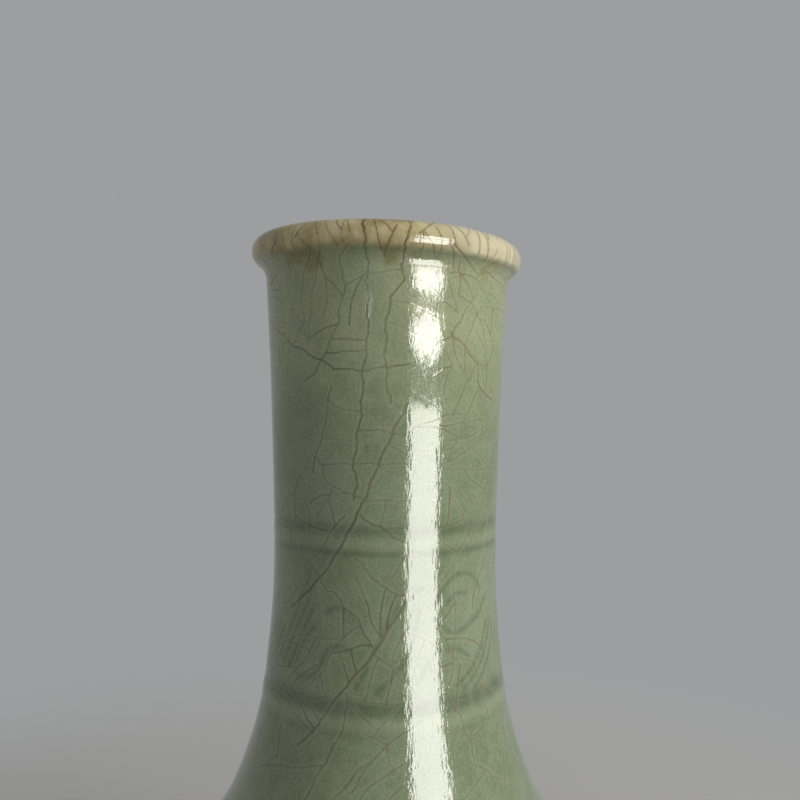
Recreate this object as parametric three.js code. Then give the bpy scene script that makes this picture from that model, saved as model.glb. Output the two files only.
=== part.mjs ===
// Long-neck celadon vase, thrown in sections that are luted together. Millimetres, +Z up,
// with the origin at the centre of the face that the foot rests on.
import * as THREE from "three";

// Lengths of the sections, stacked from the foot to the mouth
const footHeight = 9;
const lowerBodyHeight = 55;
const shoulderHeight = 84;
const lowerNeckHeight = 41;
const upperNeckHeight = 64;
const lipHeight = 11;

// Outside radii, and how far above its section's lower seam each one lies. The neck's radii
// are its waist and how far it flares out from that.
const footJoinRadius = 41.8;
const underbellyRise = 18;
const underbellyRadius = 55.4;
const fullBellyRise = 35;
const fullBellyRadius = 66;
const bellyRadius = 70;
const shoulderTurnRise = 20;
const shoulderTurnRadius = 64.8;
const shoulderSlopeRise = 40;
const shoulderSlopeRadius = 50.6;
const neckRootRise = 58;
const neckRootFlare = 10.1;
const lowerStringFlare = 2.6;
const waistRise = 32;
const waistRadius = 29.6;
const midNeckRise = 35;
const midNeckFlare = 1;
const neckTopFlare = 2.5;

// Walls, measured square to the surface
const neckWall = 5.2;
const bodyWall = 6.5;

// Rolled lip
const lipOverhang = 3.9;
const lipRollRadius = 3.7;
const underLipFillet = 5;
const lipInnerDrop = 6.5;

// Foot ring and the base disc that is let in from inside
const footRestRadius = 42.6;
const footRingWidth = 6.4;
const footBevel = 1.1;
const baseOpeningRadius = 33;
const baseLedgeHeight = 3;
const baseDiscRadius = 37;
const baseDiscThickness = 6;

// Luted joints: each seam is a butt face outside and a spigot inside
const lapHeight = 2.4;
const slipGap = 0.3;

// Raised strings over the two neck seams, with a shallow turned groove on each side
const stringHeight = 2.2;
const stringProud = 0.35;
const stringSeatDepth = 1.1;
const grooveDepth = 0.55;
const grooveHeight = 2.8;

// How finely round forms are drawn
const sides = 48;
const wallStep = 8;
const lipSteps = 7;

const bellySeam = footHeight + lowerBodyHeight;
const lowerString = bellySeam + shoulderHeight;
const upperString = lowerString + lowerNeckHeight;
const lipSeam = upperString + upperNeckHeight;

const outline = [
  [footHeight, footJoinRadius],
  [footHeight + underbellyRise, underbellyRadius],
  [footHeight + fullBellyRise, fullBellyRadius],
  [bellySeam, bellyRadius],
  [bellySeam + shoulderTurnRise, shoulderTurnRadius],
  [bellySeam + shoulderSlopeRise, shoulderSlopeRadius],
  [bellySeam + neckRootRise, waistRadius + neckRootFlare],
  [lowerString, waistRadius + lowerStringFlare],
  [lowerString + waistRise, waistRadius],
  [upperString + midNeckRise, waistRadius + midNeckFlare],
  [lipSeam, waistRadius + neckTopFlare],
];

// Slope of the outline at each of its points: a weighted harmonic mean of the chords on its
// two sides, or zero where it turns back, so that the curve never bulges past its points.
function outlineSlopes(points) {
  const chords = points.slice(1).map(([z, r], i) => (r - points[i][1]) / (z - points[i][0]));
  return points.map((_, i) => {
    const below = chords[i - 1];
    const above = chords[i];
    if (below === undefined) return above;
    if (above === undefined) return below;
    if (below * above <= 0) return 0;
    const spanBelow = points[i][0] - points[i - 1][0];
    const spanAbove = points[i + 1][0] - points[i][0];
    const weightBelow = 2 * spanAbove + spanBelow;
    const weightAbove = spanAbove + 2 * spanBelow;
    return (weightBelow + weightAbove) / (weightBelow / below + weightAbove / above);
  });
}

const slopes = outlineSlopes(outline);

// Outside radius and its slope at a height, from a cubic through the outline's points
function outsideAt(z) {
  let i = 0;
  while (i < outline.length - 2 && z > outline[i + 1][0]) i += 1;
  const [z0, r0] = outline[i];
  const [z1, r1] = outline[i + 1];
  const span = z1 - z0;
  const t = (z - z0) / span;
  const rise = r1 - r0;
  const start = slopes[i] * span;
  const end = slopes[i + 1] * span;
  const bend = 3 * rise - 2 * start - end;
  const twist = start + end - 2 * rise;
  return {
    radius: r0 + t * (start + t * (bend + t * twist)),
    slope: (start + t * (2 * bend + 3 * t * twist)) / span,
  };
}

// Inside radius at a height: the wall is measured square to the outside, and it thins evenly
// from the belly to the neck.
function insideAt(z) {
  const { radius, slope } = outsideAt(z);
  const share = THREE.MathUtils.clamp((z - bellySeam) / shoulderHeight, 0, 1);
  const wall = THREE.MathUtils.lerp(bodyWall, neckWall, share);
  return radius - wall * Math.hypot(1, slope);
}

// The radius where a seam's butt face ends and its spigot begins
function seamMiddle(z) {
  return (outsideAt(z).radius + insideAt(z)) / 2;
}

// Even steps from one height to another, ends included
function heights(low, high) {
  const count = Math.max(1, Math.round((high - low) / wallStep));
  return Array.from({ length: count + 1 }, (_, i) => low + ((high - low) * i) / count);
}

const outerWall = (low, high) => heights(low, high).map((z) => [outsideAt(z).radius, z]);
const innerWall = (high, low) => heights(low, high).map((z) => [insideAt(z), z]).reverse();

// A section's upper end, from the outside to the inside: butt face, then spigot
function spigotEnd(z) {
  return [
    [seamMiddle(z), z],
    [seamMiddle(z), z + lapHeight],
    [insideAt(z), z + lapHeight],
    [insideAt(z), z],
  ];
}

// A section's lower end, from the inside to the outside: the socket over the spigot below it
function socketEnd(z) {
  const ledge = z + lapHeight + slipGap;
  return [
    [seamMiddle(z) + slipGap, ledge],
    [seamMiddle(z) + slipGap, z],
  ];
}

// The outside of a section just below a string: the turned groove, then the string's seat
function grooveBelow(z) {
  const radius = outsideAt(z).radius - grooveDepth;
  const seatTop = z - stringHeight / 2;
  return [
    [outsideAt(seatTop - grooveHeight).radius, seatTop - grooveHeight],
    [radius, seatTop - grooveHeight / 2],
    [radius, seatTop],
    [radius - stringSeatDepth, seatTop],
    [radius - stringSeatDepth, z],
  ];
}

// The same just above a string, from the seam upwards
function grooveAbove(z) {
  const radius = outsideAt(z).radius - grooveDepth;
  const seatBottom = z + stringHeight / 2 + slipGap;
  return [
    [radius - stringSeatDepth, z],
    [radius - stringSeatDepth, seatBottom],
    [radius, seatBottom],
    [radius, seatBottom + grooveHeight / 2],
    [outsideAt(seatBottom + grooveHeight).radius, seatBottom + grooveHeight],
  ];
}

const grooveReach = stringHeight / 2 + slipGap + grooveHeight;

// A solid of revolution about +Z, from a closed outline of [radius, height] points that runs
// up the outside and down the inside
function turned(points) {
  const profile = points.map(([r, z]) => new THREE.Vector2(r, z));
  profile.push(profile[0].clone());
  return new THREE.LatheGeometry(profile, sides).rotateX(Math.PI / 2);
}

// An arc as [radius, height] points
function arc(centreRadius, centreHeight, rx, ry, fromAngle, toAngle) {
  const curve = new THREE.EllipseCurve(centreRadius, centreHeight, rx, ry, fromAngle, toAngle, toAngle < fromAngle);
  return curve.getPoints(lipSteps).map((p) => [p.x, p.y]);
}

function footRing() {
  const inside = footRestRadius - footRingWidth;
  return turned([
    [inside + footBevel, 0],
    [footRestRadius - footBevel, 0],
    [footRestRadius, footBevel],
    [footJoinRadius, footHeight],
    [inside, footHeight],
    [inside, footBevel],
  ]);
}

function baseDisc() {
  const bottom = footHeight + baseLedgeHeight;
  const profile = [
    [0, bottom],
    [baseDiscRadius, bottom],
    [baseDiscRadius, bottom + baseDiscThickness],
    [0, bottom + baseDiscThickness],
  ];
  return new THREE.LatheGeometry(profile.map(([r, z]) => new THREE.Vector2(r, z)), sides).rotateX(Math.PI / 2);
}

function lowerBody() {
  const ledge = footHeight + baseLedgeHeight;
  const floor = ledge + baseDiscThickness;
  return turned([
    ...outerWall(footHeight, bellySeam),
    ...spigotEnd(bellySeam),
    ...innerWall(bellySeam, floor).slice(1),
    [baseDiscRadius + slipGap, floor],
    [baseDiscRadius + slipGap, ledge],
    [baseOpeningRadius, ledge],
    [baseOpeningRadius, footHeight],
  ]);
}

function shoulder() {
  return turned([
    ...outerWall(bellySeam, lowerString - grooveReach),
    ...grooveBelow(lowerString),
    ...spigotEnd(lowerString),
    ...innerWall(lowerString, bellySeam + lapHeight + slipGap).slice(1),
    ...socketEnd(bellySeam),
  ]);
}

function lowerNeck() {
  return turned([
    ...grooveAbove(lowerString),
    ...outerWall(lowerString + grooveReach, upperString - grooveReach).slice(1, -1),
    ...grooveBelow(upperString),
    ...spigotEnd(upperString),
    ...innerWall(upperString, lowerString + lapHeight + slipGap).slice(1),
    ...socketEnd(lowerString),
  ]);
}

function upperNeck() {
  return turned([
    ...grooveAbove(upperString),
    ...outerWall(upperString + grooveReach, lipSeam).slice(1),
    ...spigotEnd(lipSeam),
    ...innerWall(lipSeam, upperString + lapHeight + slipGap).slice(1),
    ...socketEnd(upperString),
  ]);
}

// The lip: a concave fillet out of the neck, a round roll, and an easy curve into the mouth
function mouthRim() {
  const top = lipSeam + lipHeight;
  const neckTopRadius = waistRadius + neckTopFlare;
  const rollRadius = neckTopRadius + lipOverhang - lipRollRadius;
  const rollHeight = top - lipRollRadius;
  const filletRadius = neckTopRadius + underLipFillet;
  const across = filletRadius - rollRadius;
  const between = lipRollRadius + underLipFillet;
  const touch = Math.acos(across / between);
  const filletHeight = rollHeight - between * Math.sin(touch);
  const inside = insideAt(lipSeam);
  return turned([
    [neckTopRadius, lipSeam],
    ...arc(filletRadius, filletHeight, underLipFillet, underLipFillet, Math.PI, Math.PI - touch),
    ...arc(rollRadius, rollHeight, lipRollRadius, lipRollRadius, -touch, Math.PI / 2).slice(1),
    ...arc(rollRadius, top - lipInnerDrop, rollRadius - inside, lipInnerDrop, Math.PI / 2, Math.PI).slice(1),
    [inside, lipSeam + lapHeight + slipGap],
    ...socketEnd(lipSeam),
  ]);
}

// A raised string: a band with a rounded crest, let into the seat over a seam
function raisedString(z) {
  const seat = outsideAt(z).radius - grooveDepth - stringSeatDepth + slipGap;
  const crest = outsideAt(z).radius + stringProud;
  const shoulderRadius = outsideAt(z).radius - grooveDepth;
  const half = stringHeight / 2;
  return turned([
    [seat, z - half],
    ...arc(shoulderRadius, z, crest - shoulderRadius, half, -Math.PI / 2, Math.PI / 2),
    [seat, z + half],
  ]);
}

// Celadon over the body, a thin pale skin of it on the lip, and bare fired clay underneath
const celadon = () => new THREE.MeshStandardMaterial({ color: 0x7d8f78, roughness: 0.18, metalness: 0 });
const lipGlaze = () => new THREE.MeshStandardMaterial({ color: 0xa89c7a, roughness: 0.25, metalness: 0 });
const bareClay = () => new THREE.MeshStandardMaterial({ color: 0x9a5f3c, roughness: 0.85, metalness: 0 });

const vase = new THREE.Group();

function add(name, geometry, material) {
  const mesh = new THREE.Mesh(geometry, material);
  mesh.name = name;
  vase.add(mesh);
}

add("foot_ring", footRing(), bareClay());
add("base_disc", baseDisc(), celadon());
add("lower_body", lowerBody(), celadon());
add("shoulder", shoulder(), celadon());
add("lower_string", raisedString(lowerString), celadon());
add("lower_neck", lowerNeck(), celadon());
add("upper_string", raisedString(upperString), celadon());
add("upper_neck", upperNeck(), celadon());
add("mouth_rim", mouthRim(), lipGlaze());

export default vase;
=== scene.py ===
# Long-neck celadon vase: thrown sections, raised strings and a rolled lip under one crackled glaze.
import math
import bpy
import numpy as np
from mathutils import Matrix, Vector


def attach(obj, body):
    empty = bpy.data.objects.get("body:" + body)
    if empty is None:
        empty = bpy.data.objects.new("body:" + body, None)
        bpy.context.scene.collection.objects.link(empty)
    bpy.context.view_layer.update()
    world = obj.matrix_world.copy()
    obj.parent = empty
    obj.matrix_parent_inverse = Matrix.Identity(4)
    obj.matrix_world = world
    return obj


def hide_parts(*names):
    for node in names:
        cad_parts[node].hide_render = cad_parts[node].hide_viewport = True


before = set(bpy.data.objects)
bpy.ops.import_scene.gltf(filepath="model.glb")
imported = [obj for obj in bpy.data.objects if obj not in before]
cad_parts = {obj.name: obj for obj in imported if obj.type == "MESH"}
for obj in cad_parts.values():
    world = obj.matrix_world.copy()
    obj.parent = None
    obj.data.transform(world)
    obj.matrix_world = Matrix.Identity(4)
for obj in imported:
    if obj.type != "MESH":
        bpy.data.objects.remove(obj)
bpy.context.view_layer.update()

metresPerMm = 0.001

# The outline that every section follows, in millimetres. Azimuth 0 is the front, -Y, and it grows towards +X.
vaseForm = {
    "knotHeights": (9, 27, 44, 64, 84, 104, 122, 148, 180, 224, 253),
    "knotRadii": (41.8, 55.4, 66, 70, 64.8, 50.6, 39.7, 32.2, 29.6, 30.6, 32.1),
    "blend": 4.0,             # height over which the outline's curves are eased into each other
    "bodyWall": 6.5,
    "neckWall": 5.2,
    "footJoint": 9,
    "bellySeam": 64,
    "shoulderTop": 148,
    "neckJoint": 189,
    "lipSeam": 253,
    "ovalness": 0.16,         # how far the throwing left it from round
    "rimDip": 0.028,          # the rim's slope down towards +X
    "rimDipStart": 222,
    "rimDipEnd": 262,
}

knotZ = np.array(vaseForm["knotHeights"], float)
knotR = np.array(vaseForm["knotRadii"], float)


def knotSlopes():
    # At each knot the weighted harmonic mean of the two chords, and zero where the outline turns back.
    span = np.diff(knotZ)
    chord = np.diff(knotR) / span
    below = 2 * span[1:] + span[:-1]
    above = span[1:] + 2 * span[:-1]
    mean = (below + above) / (below / chord[:-1] + above / chord[1:])
    return np.concatenate([chord[:1], np.where(chord[:-1] * chord[1:] > 0, mean, 0), chord[-1:]])


knotM = knotSlopes()


def sharpOutline(z):
    # Radius at height z: the cubic through the two knots on either side, with their slopes.
    i = np.clip(np.searchsorted(knotZ, z, side="right") - 1, 0, len(knotZ) - 2)
    span = knotZ[i + 1] - knotZ[i]
    t = (z - knotZ[i]) / span
    start = (1 + 2 * t) * (1 - t) ** 2 * knotR[i] + t * (1 - t) ** 2 * span * knotM[i]
    return start + t * t * (3 - 2 * t) * knotR[i + 1] + t * t * (t - 1) * span * knotM[i + 1]


def outline(z):
    # The same outline, averaged over a few millimetres of height with a bell of weights.
    offsets = np.linspace(-1, 1, 9)
    weights = np.cos(offsets * math.pi / 2.4) ** 2
    return sum(w * sharpOutline(z + o * vaseForm["blend"]) for o, w in zip(offsets, weights)) / weights.sum()


def bore(z):
    # Inner radius: the outline less the wall, which is measured square to the slope.
    share = np.clip((z - vaseForm["bellySeam"]) / (vaseForm["shoulderTop"] - vaseForm["bellySeam"]), 0, 1)
    wall = vaseForm["bodyWall"] + (vaseForm["neckWall"] - vaseForm["bodyWall"]) * share
    slope = outline(z + 0.5) - outline(z - 0.5)
    return outline(z) - wall * np.hypot(1, slope)


def ease(value, low, high):
    # 0 below low, 1 above high, and a smooth cubic between.
    t = np.clip((value - low) / (high - low), 0, 1)
    return t * t * (3 - 2 * t)


def bell(value, centre, width):
    # A bell of height 1 that has fallen to about a third at one width from its centre.
    return np.exp(-((value - centre) / width) ** 2)


def swell(x, y, z, length, seed, waves=14):
    # Sum of sine waves in seeded directions, each about one length long: soft lumps from about -1 to 1.
    rng = np.random.default_rng(seed)
    total = 0
    for wave in range(waves):
        way = rng.normal(size=3)
        way *= 2 * math.pi / (length * rng.uniform(0.75, 1.5) * np.linalg.norm(way))
        total = total + np.sin(x * way[0] + y * way[1] + z * way[2] + rng.uniform(0, 2 * math.pi))
    return total / math.sqrt(waves)


# Raised strings and the cut lines on either side of them. The glaze has nearly levelled them, so they show
# more by its depth than by their height.
stringForm = {
    "heights": (148, 189),
    "half": 1.1,              # half of a string's height
    "proud": (0.10, 0.07),
    "bead": (1.3, 1.1),
    "grooveAbove": (3.6, 3.3),
    "grooveAboveWide": (1.8, 1.4),
    "grooveAboveDeep": (0.13, 0.09),
    "grooveBelow": (2.5, 2.2),
    "grooveBelowWide": (0.8, 0.9),
    "grooveBelowDeep": (0.03, 0.08),
    "seat": 1.1,              # how deep a string is let into the neck
    "pooledAt": 0.1, "pooledShare": 0.9,      # a groove this deep holds the most glaze, and how much that is
    "ridgeAt": 0.09, "ridgeShare": 0.42,      # the same for a string this proud, where the glaze is thin
}


def stringRelief(z):
    # For each string a bead of clay, with a groove above it and a narrower one below.
    total = 0
    for k, height in enumerate(stringForm["heights"]):
        total = total + stringForm["proud"][k] * bell(z, height, stringForm["bead"][k])
        total = total - stringForm["grooveAboveDeep"][k] * bell(
            z, height + stringForm["grooveAbove"][k], stringForm["grooveAboveWide"][k])
        total = total - stringForm["grooveBelowDeep"][k] * bell(
            z, height - stringForm["grooveBelow"][k], stringForm["grooveBelowWide"][k])
    return total


# Faint carved scroll between the strings, as (azimuth in degrees, height) points of one repeat.
scrollForm = {
    "low": 151,
    "high": 188,
    "radius": 30.2,
    "repeats": 3,
    "lineWide": 0.62,
    "lineDeep": 0.02,
    "pooledShare": 0.68,
    "strokes": (
        ((-27, 172.5), (-23, 174.5), (-17, 173.5), (-11, 170.5), (-7, 166)),
        ((-42, 157), (-36, 157), (-31, 158.5), (-28, 162), (-25, 165), (-19, 165.5), (-14, 163.5)),
        ((-34, 168.5), (-40, 165), (-44, 159.5)),
        ((-57, 160), (-50, 167), (-40, 177), (-36, 183)),
        ((-53, 159), (-46, 166.5), (-37, 176), (-33, 182)),
        ((-49, 158), (-43, 164.5), (-35, 173)),
        ((-12, 156), (-5, 164), (2, 172), (10, 177), (18, 179)),
        ((-3, 155.5), (6, 160), (12, 167), (16, 174)),
        ((24, 171.5), (30, 168), (36, 167.5), (43, 169), (50, 170.5), (56, 174)),
        ((24, 174), (27, 178), (33, 181), (40, 181.5), (47, 180), (52, 176.5)),
        ((30, 175), (35, 177), (41, 176.5)),
        ((33, 155.5), (41, 157.5), (49, 161.5), (57, 168)),
        ((38, 154.5), (46, 157), (54, 161.5), (61, 168)),
        ((44, 154), (51, 156.5), (59, 161), (65, 167)),
        ((14, 157), (20, 162), (27, 164.5), (35, 164), (41, 161.5)),
    ),
}


def rounded(points):
    # Corners cut three times over, which turns a chain of points into a smooth stroke.
    points = np.array(points, float)
    for cut in range(3):
        near = 0.75 * points[:-1] + 0.25 * points[1:]
        far = 0.25 * points[:-1] + 0.75 * points[1:]
        middle = np.stack([near, far], 1).reshape(-1, 2)
        points = np.vstack([points[:1], middle, points[-1:]])
    return points


def carvedField(azimuth, z):
    # 1 on a stroke's line and fading to 0 beside it, from the distance to its nearest segment.
    form = scrollForm
    girth = 2 * math.pi * form["radius"]
    nearest = np.full(azimuth.shape, 1e6)
    for stroke in form["strokes"]:
        line = rounded(stroke)[::2]
        for repeat in range(form["repeats"]):
            arc = form["radius"] * (np.radians(line[:, 0]) + 2 * math.pi * repeat / form["repeats"])
            for a0, z0, a1, z1 in zip(arc[:-1], line[:-1, 1], arc[1:], line[1:, 1]):
                ds = np.mod(azimuth * form["radius"] - a0 + girth / 2, girth) - girth / 2
                dz = z - z0
                along, rise = a1 - a0, z1 - z0
                t = np.clip((ds * along + dz * rise) / (along * along + rise * rise), 0, 1)
                nearest = np.minimum(nearest, (ds - t * along) ** 2 + (dz - t * rise) ** 2)
    return np.exp(-nearest / form["lineWide"] ** 2)


# Throwing rings and the soft lumps of the wall, in millimetres.
throwingForm = {
    "ringHigh": 0.012, "ringApart": 9, "ringsFull": 120, "ringsEnd": 200,
    "lumpHigh": 0.04, "lumpSize": 34, "dimpleHigh": 0.005, "dimpleSize": 9,
}

# An old chip in the rim, worn smooth: the lip is set back a little along it. Degrees and millimetres.
chipForm = {"from": 33.5, "edge": 2, "to": 96, "end": 120, "depth": 0.3, "bottom": 257, "top": 259}


def surfaceRelief(azimuth, z, radius):
    # What stands out from or is cut into the outside, and how deep the glaze has pooled there.
    form = throwingForm
    x, y = radius * np.sin(azimuth), -radius * np.cos(azimuth)
    rings = form["ringHigh"] * np.sin(2 * math.pi * z / form["ringApart"] + azimuth)
    rings = rings * ease(-z, -form["ringsEnd"], -form["ringsFull"])
    lumps = form["lumpHigh"] * swell(x, y, z, form["lumpSize"], 11)
    lumps = lumps + form["dimpleHigh"] * swell(x, y, z, form["dimpleSize"], 12)
    strings = stringRelief(z)
    degrees = np.degrees(azimuth)
    chip = ease(degrees, chipForm["from"], chipForm["from"] + chipForm["edge"])
    chip = chip * (1 - ease(degrees, chipForm["to"], chipForm["end"]))
    lumps = lumps - chipForm["depth"] * chip * ease(z, chipForm["bottom"], chipForm["top"])
    carved = np.zeros_like(z)
    band = (z[:, 0] > scrollForm["low"]) & (z[:, 0] < scrollForm["high"])
    if band.any():
        carved[band] = carvedField(azimuth[band], z[band])
    inGroove = np.clip(-strings / stringForm["pooledAt"], 0, 1)
    onString = np.clip(strings / stringForm["ridgeAt"], 0, 1)
    pooled = inGroove * stringForm["pooledShare"] + scrollForm["pooledShare"] * carved
    pooled = pooled - stringForm["ridgeShare"] * onString
    return strings + rings + lumps - scrollForm["lineDeep"] * carved, pooled


# Crackle: a few long cracks are placed singly, and the rest grow along the glaze's grain until each meets
# an older crack, so that they end on one another as real ones do. Lengths along the lip run on past its seam.
crackleForm = {
    "seed": 7,
    "low": 9.6,
    "high": 276,
    "lipRadius": 34.5,
    "cell": 0.4,              # height of a row in the map of where cracks already lie
    "columns": 900,
    "step": 0.5,
    "wander": 0.085,          # radians that a crack may turn at each step
    "meanRadius": 31,         # for working out lengths round the neck
    "grain": 50, "grainTop": 86, "grainFrom": 176, "grainTo": 216, "grainSway": 16,     # degrees, mm
    "lipGrain": 90,
    "dense": (0.35, 1.5),     # radians round the front right, where cracks are close from denseFrom up
    "denseFrom": 192,
    "denseShare": 0.7,        # elsewhere they are close where slow lumps pass this
    # width is half of the line's; turn is in degrees from the grain
    "levels": (
        {"spacing": 5.6, "tries": 3500, "longest": 90, "width": 0.32, "strength": 0.6,
         "turn": 0, "spread": 9},
        {"spacing": 3.4, "tries": 9000, "longest": 40, "width": 0.28, "strength": 0.5,
         "turn": 88, "spread": 16},
        {"spacing": 2.9, "tries": 7000, "longest": 30, "width": 0.26, "strength": 0.38,
         "turn": 12, "spread": 20},
        {"spacing": 1.4, "tries": 16000, "longest": 16, "width": 0.3, "strength": 0.8,
         "turn": 60, "spread": 50, "denseOnly": True},
        {"spacing": 1.25, "tries": 16000, "longest": 9, "width": 0.24, "strength": 0.85,
         "turn": 4, "spread": 30, "lipOnly": True},
    ),
    # Each is a half width, a strength and (azimuth in degrees, height in mm) points.
    "placed": (
        (0.42, 0.95, ((-8.5, 272), (-8.5, 264), (-8, 257))),
        (0.34, 0.85, ((-8, 257), (-8, 236), (-10, 230), (-10.5, 221), (-13, 213), (-14.5, 206.5),
                      (-12.5, 203), (-14.5, 199.5))),
        (0.34, 0.8, ((9.5, 270), (7.5, 261), (6, 256), (7, 250.5), (2, 246.5), (0, 241.5),
                     (-0.5, 234), (0, 228), (2, 222))),
        (0.28, 0.6, ((-26, 259), (-30.5, 254), (-34, 246), (-36.5, 236))),
        (0.28, 0.6, ((-30, 259), (-38.5, 252), (-40, 245), (-37, 236))),
        (0.3, 0.6, ((-14.5, 259), (-20.5, 254.5), (-17, 249), (-19, 246.5), (-21, 240.5), (-27, 234),
                    (-33, 229), (-40, 227))),
        (0.32, 0.85, ((-52, 237), (-43, 235), (-32, 232.5), (-23, 230), (-10, 229.5), (0, 230.5), (9, 231))),
        (0.26, 0.5, ((-17, 249), (-9, 251.5), (2, 252.5), (7, 252.5))),
        (0.3, 0.7, ((27.5, 253), (39, 253), (48, 250), (67, 247.5))),
        (0.3, 0.75, ((31.5, 256), (32.5, 248), (42.5, 245), (48, 240.5), (52, 236))),
        (0.3, 0.7, ((42, 248.5), (36, 244.5), (29, 238), (22, 236))),
        (0.34, 0.85, ((28.5, 239), (37, 235.5), (45.5, 231.5), (47.5, 225.5), (62, 222.5))),
        (0.28, 0.6, ((23.5, 235.5), (31, 231.5), (27.5, 229), (26, 224))),
        (0.3, 0.7, ((46.5, 225.5), (40.5, 221), (37.5, 217.5), (33.5, 213), (28, 208))),
        (0.28, 0.6, ((37, 235.5), (39.5, 240), (46, 246))),
        (0.26, 0.6, ((24, 213.5), (33.5, 213.5), (42, 215.5))),
        (0.3, 0.7, ((44.5, 200), (57, 194), (42.5, 191), (37, 187))),
        (0.28, 0.6, ((34, 199), (42.5, 191.5), (44, 188))),
        (0.3, 0.7, ((57, 183.5), (48.5, 178), (45, 172))),
        (0.38, 0.85, ((10, 222.5), (5, 217.5), (-3.5, 207.5), (-9, 200), (-18, 190.5), (-27, 183), (-38, 177),
                      (-50, 172))),
        (0.3, 0.65, ((-25, 226), (-28.5, 215.5), (-33.5, 209.5), (-36, 205))),
        (0.28, 0.6, ((-33.5, 209.5), (-29.5, 207.5), (-30, 204.5), (-24, 202.5), (-28.5, 198), (-34, 194.5))),
        (0.28, 0.6, ((-11.5, 216), (2.5, 215.5), (8, 214.5))),
        (0.26, 0.5, ((-27, 213.5), (-13, 213.5))),
        (0.28, 0.6, ((-30, 207.5), (-13, 208), (9, 208))),
        (0.28, 0.6, ((-24, 202.5), (-9.5, 199.5), (10, 199.5))),
        (0.28, 0.6, ((0, 199.5), (-1.5, 192))),
        (0.34, 0.75, ((-12, 196), (1.5, 192), (9, 189.5))),
        (0.3, 0.6, ((-44, 189), (-36, 183), (-27, 178), (-24, 177.5), (-11.5, 171.5), (-4.5, 164.5), (5, 160),
                    (11, 156.5))),
        (0.34, 0.75, ((-13, 186), (-1.5, 179.5), (12, 176.5))),
        (0.28, 0.6, ((9.5, 187), (2.5, 181))),
        (0.34, 0.75, ((10, 176.5), (1, 169), (-5.5, 163.5), (-13.5, 158.5), (-23.5, 151.5), (-28, 147),
                      (-37, 141.5))),
        (0.28, 0.6, ((-13, 170), (-22.5, 165), (-28.5, 158.5), (-25.5, 153))),
        (0.3, 0.65, ((15, 149), (3, 145), (-6, 140), (-12, 134))),
        (0.3, 0.65, ((-16, 155), (-16, 148.5), (-21.5, 141.5), (-26.5, 136), (-31, 129))),
        (0.28, 0.6, ((-8, 147), (1.5, 144), (3.5, 138))),
        (0.28, 0.6, ((13, 142), (2.5, 138.5), (-5.5, 135.5), (-14, 128))),
        (0.3, 0.65, ((26.5, 154.5), (33.5, 148.5), (37.5, 142.5), (39, 137), (51.5, 131.5))),
        (0.55, 1.0, ((10.8, 176.3), (12, 176.8))),
        (0.34, 1.0, ((12.5, 211), (12.9, 211.1))),
        (0.34, 1.0, ((10.5, 206.5), (10.8, 206.8))),
        (0.42, 1.0, ((23, 202.5), (23.5, 202.7))),
        (0.3, 1.0, ((18.5, 195.5), (18.8, 195.6))),
    ),
}


def densified(points, step, rng):
    # A chain of (degrees, mm) points as close (radians, mm) points, with a slight tremor across it.
    points = np.array(points, float)
    radius = crackleForm["meanRadius"]
    arc = np.radians(points[:, 0]) * radius
    length = np.concatenate([[0], np.cumsum(np.hypot(np.diff(arc), np.diff(points[:, 1])))])
    places = np.linspace(0, length[-1], max(2, int(length[-1] / step)))
    tremor = 0.28 * np.sin(places * 0.9 + rng.uniform(0, 6)) + 0.16 * np.sin(places * 2.3 + rng.uniform(0, 6))
    tremor = tremor * np.minimum(1, length[-1] / 5)
    return np.stack([(np.interp(places, length, arc) + tremor) / radius,
                     np.interp(places, length, points[:, 1]) + 0.6 * tremor], 1)


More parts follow.
